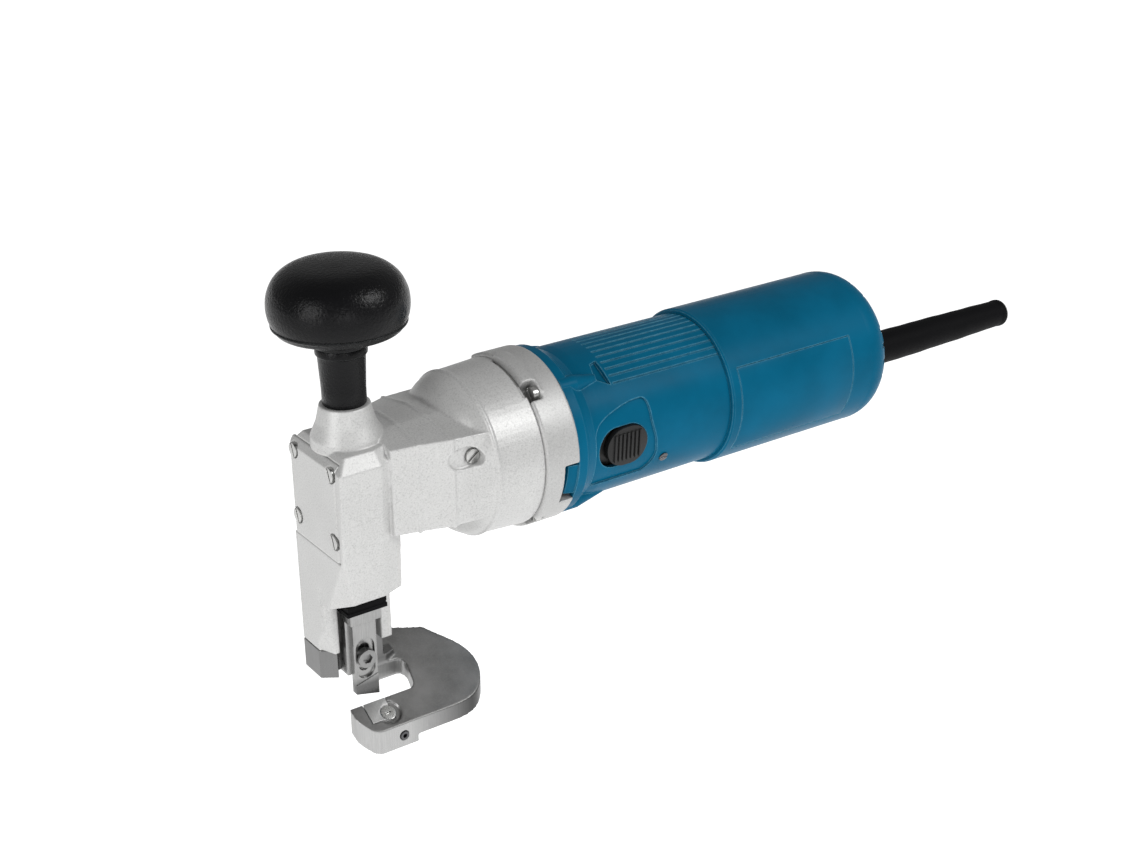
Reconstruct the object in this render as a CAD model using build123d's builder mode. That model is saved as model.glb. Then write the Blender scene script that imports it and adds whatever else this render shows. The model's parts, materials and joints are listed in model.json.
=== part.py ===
from build123d import *
import math
import os

os.makedirs("parts", exist_ok=True)

# Electric sheet-metal shear with a C-shaped cutting table.
# Frame: the origin is the cutting point, on the shearing plane Y = 0 at the height of the
# lower blade's edge. +X runs back along the motor to the cord, +Z up along the ram and the knob.

# ---- driving dimensions (mm) ----
axis_y = 5.0            # motor and ram axes stand this far from the shearing plane
axis_z = 104.0          # motor axis above the cutting point
drum_r = 37.5           # gear housing drum
ring_r = 39.0           # bearing flange, the widest round part
grip_r = 34.7           # motor housing grip
cap_r = 36.7            # rear cap
column_front = -16.0
column_rear = 16.0
column_half = 22.0      # half width of the column about the motor axis
column_base = 58.0      # underside of the column beside the ram
column_top = 125.0
leg_base = 26.0         # underside of the leg, where the table is bolted on
leg_y0 = 5.0            # blade-side face of the leg
drum_front = 40.0
flange_x0 = 73.0
flange_x1 = 90.0
grip_x1 = 176.0         # joint between the grip and the rear cap
cap_x1 = 277.0
eccentric = 3.0         # half of the 6 mm stroke
stroke = 2 * eccentric
module_mm = 0.8
pinion_teeth = 9
layshaft_teeth = 34
layshaft_pinion_teeth = 11
crank_teeth = 32
centre_distance = module_mm * (pinion_teeth + layshaft_teeth) / 2
layshaft_z = axis_z - centre_distance
table_tilt = 30.0       # the table falls towards the blade side by this angle
table_thick = 8.2       # plate and head, measured straight down
head_thick = 11.8
blade_gap = 0.3         # side clearance between the two blades
wall = 2.8              # plastic wall
fit = 0.05              # radial clearance of running and assembly fits
sleeve_z = axis_z - 10.0
sleeve_end = 388.0
knob_r = 29.0
stem_z0 = 140.5
stem_low_r = 9.2
knob_z0 = 166.0
knob_z1 = 200.8
screw_angles = (52.0, 128.0, 232.0, 308.0)   # flange screws round the motor axis

axial = Plane(origin=(0, axis_y, axis_z), x_dir=(1, 0, 0), z_dir=(0, -1, 0))
motor_axis = Axis((0, axis_y, axis_z), (1, 0, 0))
upright = Plane(origin=(0, axis_y, 0), x_dir=(1, 0, 0), z_dir=(0, -1, 0))
ram_axis = Axis((0, axis_y, 0), (0, 0, 1))
low_centre = (Align.CENTER, Align.CENTER, Align.MIN)


def section(x, y=axis_y, z=axis_z):
    """Plane across the motor axis: its local x is Y and its local y is Z."""
    return Plane(origin=(x, y, z), x_dir=(0, 1, 0), z_dir=(1, 0, 0))


def rod(x0, x1, radius, y=axis_y, z=axis_z, mode=Mode.ADD):
    """Cylinder along X."""
    with Locations(Location((x0, y, z), (0, 90, 0))):
        Cylinder(radius, x1 - x0, align=low_centre, mode=mode)


def tube(x0, x1, outer, inner, y=axis_y, z=axis_z):
    """Hollow cylinder along X."""
    rod(x0, x1, outer, y, z)
    rod(x0, x1, inner, y, z, Mode.SUBTRACT)


def block(x, y, z, mode=Mode.ADD):
    """Box given by its (low, high) spans."""
    with Locations(((x[0] + x[1]) / 2, (y[0] + y[1]) / 2, (z[0] + z[1]) / 2)):
        Box(x[1] - x[0], y[1] - y[0], z[1] - z[0], mode=mode)


def turned(points, mode=Mode.ADD, plane=axial, axis=motor_axis):
    """Solid of revolution from a closed outline of (along, radius) points."""
    with BuildSketch(plane) as profile:
        with BuildLine():
            Polyline(*points, close=True)
        make_face()
    revolve(profile.sketch, axis=axis, mode=mode)


def prism(points, z0, z1, mode=Mode.ADD):
    """Upright prism over a closed XY outline."""
    with BuildSketch(Plane.XY.offset(z0)) as outline:
        with BuildLine():
            Polyline(*points, close=True)
        make_face()
    extrude(outline.sketch, amount=z1 - z0, mode=mode)


def around(radius, angle):
    """Point at a radius and angle round the motor axis; 0 is +Y and 90 is +Z."""
    turn = math.radians(angle)
    return axis_y + radius * math.cos(turn), axis_z + radius * math.sin(turn)


def sector(points, start, arc, mode=Mode.ADD):
    """Part of a solid of revolution, from a start angle through an arc."""
    with BuildSketch(axial) as profile:
        with BuildLine():
            Polyline(*points, close=True)
        make_face()
    turned_profile = profile.sketch.rotate(motor_axis, start - 90)
    revolve(turned_profile, axis=motor_axis, revolution_arc=arc, mode=mode)


def slotted_head(plane, radius, height):
    """Cheese head on a plane, with its slot."""
    with BuildSketch(plane) as disc:
        Circle(radius)
    extrude(disc.sketch, amount=height)
    with BuildSketch(plane.offset(height)) as slot:
        Rectangle(2.2 * radius, 0.32 * radius)
    extrude(slot.sketch, amount=-0.5 * height, mode=Mode.SUBTRACT)


def finish(part, label):
    part.label = label
    export_step(part, f"parts/{label}.step")


def involute_outline(teeth):
    """Points round a stub-tooth involute gear, with backlash at the flanks."""
    pressure = math.radians(25)
    pitch = module_mm * teeth / 2
    base = pitch * math.cos(pressure)
    tip = pitch + 0.72 * module_mm
    root = pitch - 1.05 * module_mm
    half = 0.42 * math.pi / teeth
    spread = math.tan(pressure) - pressure
    points = []
    for tooth in range(teeth):
        middle = 2 * math.pi * tooth / teeth
        flank = []
        for step in range(4):
            radius = max(base, root) + (tip - max(base, root)) * step / 3
            roll = math.acos(min(1.0, base / radius))
            turn = half + spread - (math.tan(roll) - roll)
            flank.append((radius, turn))
        if base > root:
            flank.insert(0, (root, flank[0][1]))
        for radius, turn in flank:
            points.append((radius * math.cos(middle - turn), radius * math.sin(middle - turn)))
        for radius, turn in reversed(flank):
            points.append((radius * math.cos(middle + turn), radius * math.sin(middle + turn)))
    return points


def tooth_down(teeth):
    """Turn that puts a tooth straight below the gear's centre."""
    return 270 % (360 / teeth)


def gap_up(teeth):
    """Turn that puts a tooth gap straight above the gear's centre."""
    return (90 - 180 / teeth) % (360 / teeth)


def gear(x0, x1, teeth, phase, z=axis_z):
    """Spur gear along X; the phase turns it so that the mating teeth mesh."""
    with BuildSketch(section(x0, z=z)) as outline:
        with BuildLine():
            Polyline(*involute_outline(teeth), close=True)
        make_face()
    toothed = outline.sketch.rotate(Axis((x0, axis_y, z), (1, 0, 0)), phase)
    extrude(toothed, amount=x1 - x0)


# ================= castings of the head =================


def column_section(blade_side):
    """Outline of the column; its blade side stands this far from the motor axis."""
    return [(column_front, axis_y - blade_side), (3, axis_y - blade_side),
            (13.5, axis_y - blade_side + 4), (column_rear, axis_y + 16),
            (3, axis_y + column_half), (column_front, axis_y + column_half)]


leg_outline = [
    (column_front, 10), (-15.2, 6.6), (-12.8, leg_y0), (column_rear, leg_y0), (column_rear, 22),
    (11, axis_y + column_half), (column_front, axis_y + column_half)]
side_top = 22.5                   # the blade side of the column leans in towards its base
side_base = 19.2
plug_x = 43.0                     # side plugs, and their height above the motor axis
plug_rise = 10.9
seam_width = 1.3
seam_rise = 0.55
cover_x = column_front + 3.5
cover_y = (-13.0, axis_y + column_half)
screw_y = (-8.7, 22.6)            # cover screws
screw_z_pair = (87.0, 117.2)
cover_z = (78.0, 122.0)
cavity = (cover_x, 11.0)
cavity_y = (axis_y - 11.9, axis_y + 15.8)
cavity_z = (60.0, 121.8)


cover_holes = [(y, z) for y in screw_y for z in screw_z_pair]
facet_top = Vector(column_front, axis_y - 19.6, 80.0)
facet_foot = Vector(column_front, 1.5, 50.5)
facet_rear = Vector(column_front + 4.6, axis_y - side_base, column_base)
facet_normal = (facet_foot - facet_top).cross(facet_rear - facet_top)


def neck_section(half, low, side, top):
    """House-shaped section of the neck, about the motor axis."""
    return [(-half, low), (half, low), (half, side), (8, top), (-8, top), (-half, side)]


with BuildPart() as gear_housing:
    # drum with a domed front, open to the rear
    with BuildSketch(axial) as dome:
        with BuildLine():
            front_wall = Polyline((drum_front, 0), (drum_front, 20))
            crown = ThreePointArc((drum_front, 20), (42.8, 31), (51, 36.3))
            Polyline((51, 36.3), (flange_x0, drum_r), (flange_x0, 0), (drum_front, 0))
        make_face()
    revolve(dome.sketch, axis=motor_axis)
    # neck between the column and the drum, in flat facets
    neck_steps = [(8, 21.5, -18.5, 20, 23.5), (19, 24, -18.5, 20.5, 24.5),
                  (33, 28.5, -18.5, 21, 25), (50, 30, -18, 20.5, 25)]
    for (x0, *start), (x1, *end) in zip(neck_steps, neck_steps[1:]):
        with BuildSketch(section(x0)) as near:
            with BuildLine():
                Polyline(*neck_section(*start), close=True)
            make_face()
        with BuildSketch(section(x1)) as far:
            with BuildLine():
                Polyline(*neck_section(*end), close=True)
            make_face()
        loft([near.sketch.face(), far.sketch.face()], ruled=True)
    # casting seams round the neck and the drum
    for x, half, low, flank, top in neck_steps[1:3]:
        with BuildSketch(section(x - seam_width / 2)) as seam:
            with BuildLine():
                Polyline(*neck_section(half + seam_rise, low - seam_rise, flank + seam_rise / 2,
                                       top + seam_rise), close=True)
            make_face()
        extrude(seam.sketch, amount=seam_width)
    rod(51 - seam_width / 2, 51 + seam_width / 2, 36.3 + seam_rise)
    # column that carries the ram, and its top shoulder
    with BuildSketch(Plane.XY.offset(column_base)) as column_foot:
        with BuildLine():
            Polyline(*column_section(side_base), close=True)
        make_face()
    with BuildSketch(Plane.XY.offset(column_top - 6)) as shoulder:
        with BuildLine():
            Polyline(*column_section(side_top), close=True)
        make_face()
    loft([column_foot.sketch.face(), shoulder.sketch.face()], ruled=True)
    extrude(shoulder.sketch, amount=6, taper=38)
    # leg beside the ram
    prism(leg_outline, leg_base, column_base)
    # gusset between the leg and the column's underside
    with BuildSketch(section(column_front, 0, column_base)) as gusset:
        with BuildLine():
            Polyline((axis_y - side_base, 0.2), (leg_y0 + 1, 0.2), (leg_y0 + 1, -7.5),
                     (leg_y0 - 3, -7.5), (axis_y - side_base, 0), close=True)
        make_face()
    extrude(gusset.sketch, amount=6)
    # facet that widens down the column's front corner
    with BuildSketch(Plane(origin=facet_top, x_dir=facet_foot - facet_top,
                           z_dir=facet_normal)) as facet:
        with Locations((25, 0)):
            Rectangle(70, 60)
    extrude(facet.sketch, amount=14, mode=Mode.SUBTRACT)
    # conical boss that the auxiliary handle screws into
    turned([(0, column_top - 8), (15.4, column_top - 8), (15.0, 127), (12.4, 133),
            (10.6, stem_z0), (0, stem_z0)], plane=upright, axis=ram_axis)
    # blind thread hole of the handle stud
    with Locations((0, axis_y, stem_z0)):
        Cylinder(4.05, 14, align=(Align.CENTER, Align.CENTER, Align.MAX), mode=Mode.SUBTRACT)
    # shadow groove under the flange's raised lip
    sector([(71.3, 36.2), (71.3, 39), (flange_x0 + 1, 39), (flange_x0 + 1, 36.2)], 88, 42,
           Mode.SUBTRACT)
    # ram cavity, open at the front for the cover and at the bottom for the guide
    block(cavity, cavity_y, cavity_z, Mode.SUBTRACT)
    block((column_front - 1, cover_x), (cover_y[0], 60), cover_z, Mode.SUBTRACT)
    # passage for the ram beside the leg, and the ram guide's seat
    block((-9.8, 10.6), (-3.2, 13.2), (leg_base - 1, 61), Mode.SUBTRACT)
    # bores of the crank bearings
    rod(10.5, 22, 13.0, mode=Mode.SUBTRACT)
    rod(21, 35, 11.0, mode=Mode.SUBTRACT)
    rod(34, 47.5, 13.0, mode=Mode.SUBTRACT)
    # gear chamber in two steps, and the layshaft's front seat
    rod(47, 61.5, 25.5, mode=Mode.SUBTRACT)
    rod(61, flange_x0 + 1, 32.6, mode=Mode.SUBTRACT)
    rod(42.5, 48, 6.5, z=layshaft_z, mode=Mode.SUBTRACT)
    # oval seats of the side plugs on the neck's flanks
    for side in (-1, 1):
        flank = Plane(origin=(0, axis_y + side * 27.3, axis_z), x_dir=(1, 0, 0),
                      z_dir=(0, side, 0))
        with BuildSketch(flank) as seat:
            with Locations((38.6, -side * plug_rise - side * 0.4)):
                Ellipse(7.6, 4.9)
        extrude(seat.sketch, amount=9, mode=Mode.SUBTRACT)
        with BuildSketch(flank.offset(-0.8)) as plug_hole:
            with Locations((plug_x, -side * plug_rise)):
                Circle(3.4)
        extrude(plug_hole.sketch, amount=9, mode=Mode.SUBTRACT)
    # threaded holes of the cover screws
    for y, z in cover_holes:
        rod(cover_x - 0.1, cover_x + 9, 1.55, y, z, Mode.SUBTRACT)
    # threaded holes for the table, from below
    with Locations((-10, 21, leg_base), (9, 20, leg_base)):
        Cylinder(2.05, 14, align=low_centre, mode=Mode.SUBTRACT)
finish(gear_housing.part, "gear_housing")

with BuildPart() as front_cover:
    block((column_front, cover_x), (cover_y[0] + 0.35, cover_y[1]),
          (cover_z[0] + 0.05, cover_z[1] - 0.1))
    # the top slopes back like the column's shoulder
    with BuildSketch(upright) as slope:
        with BuildLine():
            Polyline((column_front - 1, column_top - 6 - 1.28),
                     (column_front + 3, column_top - 6 + 3 * 1.28),
                     (column_front - 1, column_top + 5), close=True)
        make_face()
    extrude(slope.sketch, amount=40, both=True, mode=Mode.SUBTRACT)
    fillet(front_cover.edges().filter_by(Axis.Z).group_by(Axis.X)[0], 2.2)
    for y, z in cover_holes:
        rod(column_front - 1, cover_x + 1, 1.85, y, z, Mode.SUBTRACT)
        rod(column_front - 1, column_front + 1.4, 3.7, y, z, Mode.SUBTRACT)
finish(front_cover.part, "front_cover")

with BuildPart() as cover_screws:
    for y, z in cover_holes:
        facing = Plane(origin=(column_front + 1.4, y, z), x_dir=(0, 0.35, 0.94), z_dir=(-1, 0, 0))
        slotted_head(facing, 3.2, 2.0)
        rod(column_front + 1.4, cover_x + 8, 1.5, y, z)
finish(cover_screws.part, "cover_screws")

with BuildPart() as side_screws:
    # slotted plugs on both flanks of the neck
    for side in (-1, 1):
        seat = Plane(origin=(plug_x, axis_y + side * 26.5, axis_z + plug_rise),
                     x_dir=(0.8, 0, 0.6), z_dir=(0, side, 0))
        slotted_head(seat, 3.2, 1.9)
finish(side_screws.part, "side_screws")

screw_circle = 35.6
outlet_angles = (-16, 196)

with BuildPart() as bearing_flange:
    rod(flange_x0, flange_x1, ring_r)
    chamfer(bearing_flange.edges().filter_by(GeomType.CIRCLE), 0.8)
    # raised lip at the top of the front edge
    sector([(flange_x0, 37), (flange_x0, 39.9), (flange_x0 + 1, 40.7), (78, 40.2), (81.5, 38.8),
            (81.5, 37)], 88, 42)
    rod(80, flange_x1 + 1, 33.2, mode=Mode.SUBTRACT)
    rod(flange_x0, 85, 13.5)
    rod(78, 85.1, 9.5, mode=Mode.SUBTRACT)
    rod(flange_x0 - 1, 79, 3.6, mode=Mode.SUBTRACT)
    rod(flange_x0 - 1, 77, 6.5, z=layshaft_z, mode=Mode.SUBTRACT)
    for angle in screw_angles:
        # pocket for the screw head, and its hole
        with Locations(Location((flange_x0 - 0.1, *around(36.6, angle)), (angle - 90, 0, 0))):
            Box(6.1, 9, 9, align=(Align.MIN, Align.CENTER, Align.CENTER), mode=Mode.SUBTRACT)
        rod(78, flange_x1 + 1, 2.05, *around(screw_circle, angle), Mode.SUBTRACT)
    # air outlets low on both sides
    for angle in outlet_angles:
        with Locations(Location((82, *around(36, angle)), (angle - 90, 0, 0))):
            Box(8.1, 20, 8, align=(Align.MIN, Align.CENTER, Align.CENTER), mode=Mode.SUBTRACT)
finish(bearing_flange.part, "bearing_flange")

with BuildPart() as flange_screws:
    for angle in screw_angles:
        y, z = around(screw_circle, angle)
        head = Plane(origin=(79, y, z), x_dir=(0, 0.6, 0.8), z_dir=(-1, 0, 0))
        slotted_head(head, 3.3, 3.0)
        rod(79, 97.5, 2.0, y, z)
finish(flange_screws.part, "flange_screws")

# ================= motor housing, switch and rear cap =================

grip_bore = grip_r - wall - 0.2
switch_angle = 184.0
window = (116.4, 26.0, 19.0)      # centre along X, length, height
switch_travel = 4.0


def switch_plane(radius, x):
    """Plane facing outward on the switch side."""
    turn = math.radians(switch_angle)
    return Plane(origin=(x, *around(radius, switch_angle)), x_dir=(1, 0, 0),
                 z_dir=(0, math.cos(turn), math.sin(turn)))


arch_floor = 33.9       # radius of the arched recess round the switch
arch_low = 17.0
arch_top = 19.0
with BuildPart() as arch_recess:
    with BuildSketch(switch_plane(20, 0)) as arch:
        with BuildLine():
            Polyline((129, -arch_low), (101.5, -arch_low), (101.5, 8))
            Spline((101.5, 8), (112, 16.6), (127, arch_top), tangents=((0.2, 1), (1, 0)))
            Spline((127, arch_top), (131.6, 10), (134.3, -4), tangents=((1, 0), (0, -1)))
            ThreePointArc((134.3, -4), (133.2, -arch_low + 4.2), (129, -arch_low))
        make_face()
    extrude(arch.sketch, amount=20)
    rod(95, 140, arch_floor, mode=Mode.SUBTRACT)

lug_x1 = 98.5
lug_r = 4.2
groove_count = 16
groove_arc = (44.0, 136.0)

with BuildPart() as motor_housing:
    turned([(flange_x1, 0), (flange_x1, 38), (94.5, 38), (97, 36.2), (101, 34.5), (106, 35),
            (grip_x1, grip_r), (grip_x1, 33.4), (182, 33.4), (182, 0)])
    for angle in screw_angles:
        # screw lugs behind the flange, running out into the grip
        rod(flange_x1, lug_x1, lug_r, *around(34.4, angle))
        with Locations(Location((lug_x1, *around(34.4, angle)), (0, 90, 0))):
            Cone(lug_r, 1.0, 15, align=low_centre)
    for angle in outlet_angles:
        # tongue that fills the middle of each outlet
        sector([(85.4, 33.4), (85.4, 36.2), (flange_x1 + 0.5, 37.4), (flange_x1 + 0.5, 33.4)],
               angle - 12, 24)
    rod(flange_x1 - 1, 98, 33.2, mode=Mode.SUBTRACT)
    rod(97, 166, grip_bore, mode=Mode.SUBTRACT)
    rod(172, 183, 31, mode=Mode.SUBTRACT)
    # hub and web that hold the rear bearing
    rod(163, 174, 12.5)
    rod(165.9, 175, 9.5, mode=Mode.SUBTRACT)
    rod(162, 167, 4, mode=Mode.SUBTRACT)
    for angle in (45, 135, 225, 315):
        rod(165, 173, 6, *around(22, angle), Mode.SUBTRACT)
        # ribs that carry the stator
        sector([(101, 30.25), (101, 32), (150, 32), (150, 30.25)], angle - 4, 8)
    for angle in (90, 270):
        # bosses for the stator screws
        rod(142.2, 152, 3.6, *around(28.5, angle))
        rod(142, 151, 1.65, *around(27.4, angle), Mode.SUBTRACT)
    for angle in screw_angles:
        rod(flange_x1 - 1, 98, 2.05, *around(screw_circle, angle), Mode.SUBTRACT)
    # arched recess and the window of the slide switch
    add(arch_recess.part, mode=Mode.SUBTRACT)
    with BuildSketch(switch_plane(28, window[0])) as opening:
        SlotOverall(window[1], window[2])
    extrude(opening.sketch, amount=12, mode=Mode.SUBTRACT)
    # fine grooves along the top of the grip
    for line in range(groove_count):
        angle = groove_arc[0] + (groove_arc[1] - groove_arc[0]) * line / (groove_count - 1)
        with Locations(Location((117, *around(grip_r - 0.35, angle)), (angle - 90, 0, 0))):
            Box(grip_x1 - 117 + 0.1, 0.7, 2, align=(Align.MIN, Align.CENTER, Align.MIN),
                mode=Mode.SUBTRACT)
    # wedge-shaped dents in front of the grooves
    for angle, hand in ((124, 1), (56, -1)):
        outward = (0, math.cos(math.radians(angle)), math.sin(math.radians(angle)))
        with BuildSketch(Plane(origin=(0, *around(33.0, angle)), x_dir=(1, 0, 0),
                               z_dir=outward)) as dent:
            with BuildLine():
                Polyline((111.6, 4.6 * hand), (115.2, 5.6 * hand), (115.8, -7.6 * hand),
                         (109.4, -3.6 * hand), close=True)
            make_face()
        extrude(dent.sketch, amount=5, mode=Mode.SUBTRACT)
    # slot in the web for the switch link
    sector([(165, 30.2), (165, 31.8), (183, 31.8), (183, 30.2)], switch_angle - 10, 20,
           Mode.SUBTRACT)
    # posts and threads for the rear cap
    for angle in (38, 142):
        rod(171, 215, 4.2, *around(25.5, angle))
        rod(185, 216, 1.7, *around(25.5, angle), Mode.SUBTRACT)
    # small side screws' holes
    for angle in (-23.6, 203.6):
        with Locations(Location((139.5, *around(31, angle)), (angle - 90, 0, 0))):
            Cylinder(1.3, 5, align=low_centre, mode=Mode.SUBTRACT)
finish(motor_housing.part, "motor_housing")

with BuildPart() as grip_screws:
    for angle in (-23.6, 203.6):
        outward = (0, math.cos(math.radians(angle)), math.sin(math.radians(angle)))
        seat = Plane(origin=(139.5, *around(33.6, angle)), x_dir=(1, 0, 0), z_dir=outward)
        slotted_head(seat.offset(1.3), 2.2, 0.6)
        with BuildSketch(seat.offset(-2.0)) as stem:
            Circle(1.25)
        extrude(stem.sketch, amount=3.3)
finish(grip_screws.part, "grip_screws")

with BuildPart() as switch_button:
    with BuildSketch(switch_plane(31.5, window[0] + switch_travel / 2 + 0.05)) as pad:
        SlotOverall(window[1] - switch_travel - 0.5, window[2] - 0.8)
    extrude(pad.sketch, amount=2.6)
    with BuildSketch(switch_plane(34.1, window[0] + switch_travel / 2)) as ribs:
        with GridLocations(2.2, 0, 7, 1):
            Rectangle(1.1, 13)
    extrude(ribs.sketch, amount=0.7)
finish(switch_button.part, "switch_button")

with BuildPart() as switch_link:
    link_inner, link_outer = 30.55, 31.1
    sector([(103, link_inner), (103, link_outer), (137, link_outer), (137, link_inner)],
           switch_angle - 20, 40)
    sector([(136, link_inner), (136, link_outer), (200, link_outer), (200, link_inner)],
           switch_angle - 7, 14)
finish(switch_link.part, "switch_link")

with BuildPart() as rear_cap:
    with BuildSketch(axial) as shell:
        with BuildLine():
            Polyline((grip_x1, 0), (grip_x1, 36.1), (177, cap_r), (261, cap_r))
            ThreePointArc((261, cap_r), (272.4, 33), (cap_x1, 24))
            Polyline((cap_x1, 24), (cap_x1, 0), (grip_x1, 0))
        make_face()
    revolve(shell.sketch, axis=motor_axis)
    rod(grip_x1 - 1, 183, 33.5, mode=Mode.SUBTRACT)
    turned([(182, 0), (182, 33.5), (260, 33.5), (270, 29), (273.6, 22), (273.6, 0)],
           Mode.SUBTRACT)
    # tubes for the long cap screws
    for angle in (38, 142):
        rod(216, 274, 5.2, *around(25.5, angle))
        rod(215, 222, 1.9, *around(25.5, angle), Mode.SUBTRACT)
        rod(221, 290, 3.9, *around(25.5, angle), Mode.SUBTRACT)
    # bead round the cord sleeve, and its hole
    rod(272, 279, 11.2, z=sleeve_z)
    rod(268, 281, 8.5, z=sleeve_z, mode=Mode.SUBTRACT)
    rod(268, 273.6, 11.7, z=sleeve_z, mode=Mode.SUBTRACT)
    # air inlets round the rear shoulder
    for angle in (-25, -12, 1, 14, 27, 60, 75, 90, 105, 120, 153, 166, 179, 192, 205):
        with Locations(Location((269.5, *around(34, angle)), (angle - 90, 0, 0))):
            Box(8, 2.4, 9, align=(Align.MIN, Align.CENTER, Align.CENTER), mode=Mode.SUBTRACT)
    # shallow field for the name plate
    sector([(181, cap_r - 0.5), (181, 38), (249, 38), (249, cap_r - 0.5)], 150, 68,
           Mode.SUBTRACT)
finish(rear_cap.part, "rear_cap")

with BuildPart() as name_plate:
    sector([(181.2, cap_r - 0.5), (181.2, cap_r - 0.05), (248.8, cap_r - 0.05),
            (248.8, cap_r - 0.5)], 150.4, 67.2)
finish(name_plate.part, "name_plate")

with BuildPart() as cap_screws:
    for angle in (38, 142):
        y, z = around(25.5, angle)
        slotted_head(Plane(origin=(222, y, z), x_dir=(0, 1, 0), z_dir=(1, 0, 0)), 3.5, 2.6)
        rod(190, 222, 1.65, y, z)
finish(cap_screws.part, "cap_screws")

with BuildPart() as bend_sleeve:
    turned([(268.3, 3.75), (268.3, 11.4), (273.5, 11.4), (273.5, 8.4), (310, 8.2),
            (350, 7.6), (383, 6.7), (384.5, 7.0), (387.2, 6.8), (sleeve_end, 5.8),
            (sleeve_end, 3.75)],
           plane=Plane(origin=(0, axis_y, sleeve_z), x_dir=(1, 0, 0), z_dir=(0, -1, 0)),
           axis=Axis((0, axis_y, sleeve_z), (1, 0, 0)))
finish(bend_sleeve.part, "bend_sleeve")

# ================= electric parts inside =================

with BuildPart() as switch_body:
    block((190, 226), (-24.5, -9), (91, 112))
    block((193, 199), (-25.3, -24.5), (100, 108))
finish(switch_body.part, "switch_body")

with BuildPart() as suppression_capacitor:
    rod(192, 226, 8.5, y=14, z=90)
    chamfer(suppression_capacitor.edges().filter_by(GeomType.CIRCLE), 0.8)
finish(suppression_capacitor.part, "suppression_capacitor")

with BuildPart() as terminal_block:
    block((232, 254), (-8, 16), (104, 116))
    with Locations((243, 4, 116)):
        with GridLocations(9, 9, 2, 2):
            Hole(2.2, depth=7)
finish(terminal_block.part, "terminal_block")

with BuildPart() as cord_clamp:
    block((246, 258), (-9, 19), (99.2, 102.2))
    block((246, 258), (-9, 19), (84.5, 88.5))
    for y in (-6, 16):
        block((248, 256), (y - 3, y + 3), (88.5, 99.2))
        with Locations((252, y, 84)):
            Cylinder(1.7, 19, align=low_centre, mode=Mode.SUBTRACT)
finish(cord_clamp.part, "cord_clamp")

with BuildPart() as clamp_screws:
    for y in (-6, 16):
        slotted_head(Plane(origin=(252, y, 102.2), x_dir=(1, 0, 0), z_dir=(0, 0, 1)), 2.8, 1.7)
        with Locations((252, y, 85)):
            Cylinder(1.65, 17.2, align=low_centre)
finish(clamp_screws.part, "clamp_screws")

with BuildPart() as stator_core:
    rod(102, 142, 30.2)
    rod(101, 143, 16.3, mode=Mode.SUBTRACT)
    for angle in (40, 140, 220, 320):
        rod(101, 143, 4.6, *around(20.5, angle), Mode.SUBTRACT)
    for angle in (90, 270):
        rod(101, 143, 1.9, *around(27.4, angle), Mode.SUBTRACT)
finish(stator_core.part, "stator_core")

with BuildPart() as field_coils:
    for start in (10, 190):
        for x0, x1 in ((95.8, 101.9), (142.1, 148)):
            sector([(x0, 17.2), (x0, 24.6), (x1, 24.6), (x1, 17.2)], start, 160)
    for angle in (40, 140, 220, 320):
        rod(101.8, 142.2, 3.3, *around(21, angle))
finish(field_coils.part, "field_coils")

with BuildPart() as stator_screws:
    for angle in (90, 270):
        y, z = around(27.4, angle)
        slotted_head(Plane(origin=(101.9, y, z), x_dir=(0, 1, 0), z_dir=(-1, 0, 0)), 2.2, 1.4)
        rod(101.9, 150, 1.6, y, z)
finish(stator_screws.part, "stator_screws")

with BuildPart() as brush_holders:
    for side in (1, -1):
        low, high = sorted((axis_z + side * 10.4, axis_z + side * 30))
        block((152.6, 161.4), (axis_y - 5.4, axis_y + 5.4), (low, high))
        block((154, 160), (axis_y - 3.6, axis_y + 3.6), (low - 1, high - side * 1.5), Mode.SUBTRACT)
finish(brush_holders.part, "brush_holders")

with BuildPart() as carbon_brushes:
    for side in (1, -1):
        low, high = sorted((axis_z + side * 9.6, axis_z + side * 21))
        block((154.1, 159.9), (axis_y - 3.5, axis_y + 3.5), (low, high))
finish(carbon_brushes.part, "carbon_brushes")

with BuildPart() as brush_springs:
    for side in (1, -1):
        low, high = sorted((axis_z + side * 21.1, axis_z + side * 28.4))
        with Locations((157, axis_y, low)):
            Cylinder(2.4, high - low, align=low_centre)
            Cylinder(1.7, high - low, align=low_centre, mode=Mode.SUBTRACT)
finish(brush_springs.part, "brush_springs")

# ================= gear train: rotor, layshaft and crank =================

bearings = {
    "crank_bearing_front": (14.0, 22.0, 12.95, 6.05, axis_z),
    "crank_bearing_rear": (34.1, 42.0, 12.95, 6.05, axis_z),
    "layshaft_bearing_front": (42.6, 47.4, 6.45, 2.55, layshaft_z),
    "layshaft_bearing_rear": (flange_x0 + 0.1, 77.0, 6.45, 2.55, layshaft_z),
    "rotor_bearing_front": (79.1, 84.9, 9.45, 3.05, axis_z),
    "rotor_bearing_rear": (166.0, 172.0, 9.45, 3.05, axis_z),
}
for name, (x0, x1, outer, inner, z) in bearings.items():
    middle = (outer + inner) / 2
    with BuildPart() as bearing:
        tube(x0, x1, outer, inner, z=z)
        # grooves between the two rings and the seals
        for face_x, depth in ((x0, 0.5), (x1, -0.5)):
            with BuildSketch(section(face_x, z=z)) as groove:
                Circle(middle + 0.25 * (outer - inner))
                Circle(middle - 0.25 * (outer - inner), mode=Mode.SUBTRACT)
            extrude(groove.sketch, amount=depth, mode=Mode.SUBTRACT)
    finish(bearing.part, name)

with BuildPart() as rotor_shaft:
    gear(62, 71.8, pinion_teeth, tooth_down(pinion_teeth))
    rod(71.8, 86.3, 3.0)
    rod(86.3, 163, 5.0)
    rod(163, 173.5, 3.0)
finish(rotor_shaft.part, "rotor_shaft")

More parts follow.
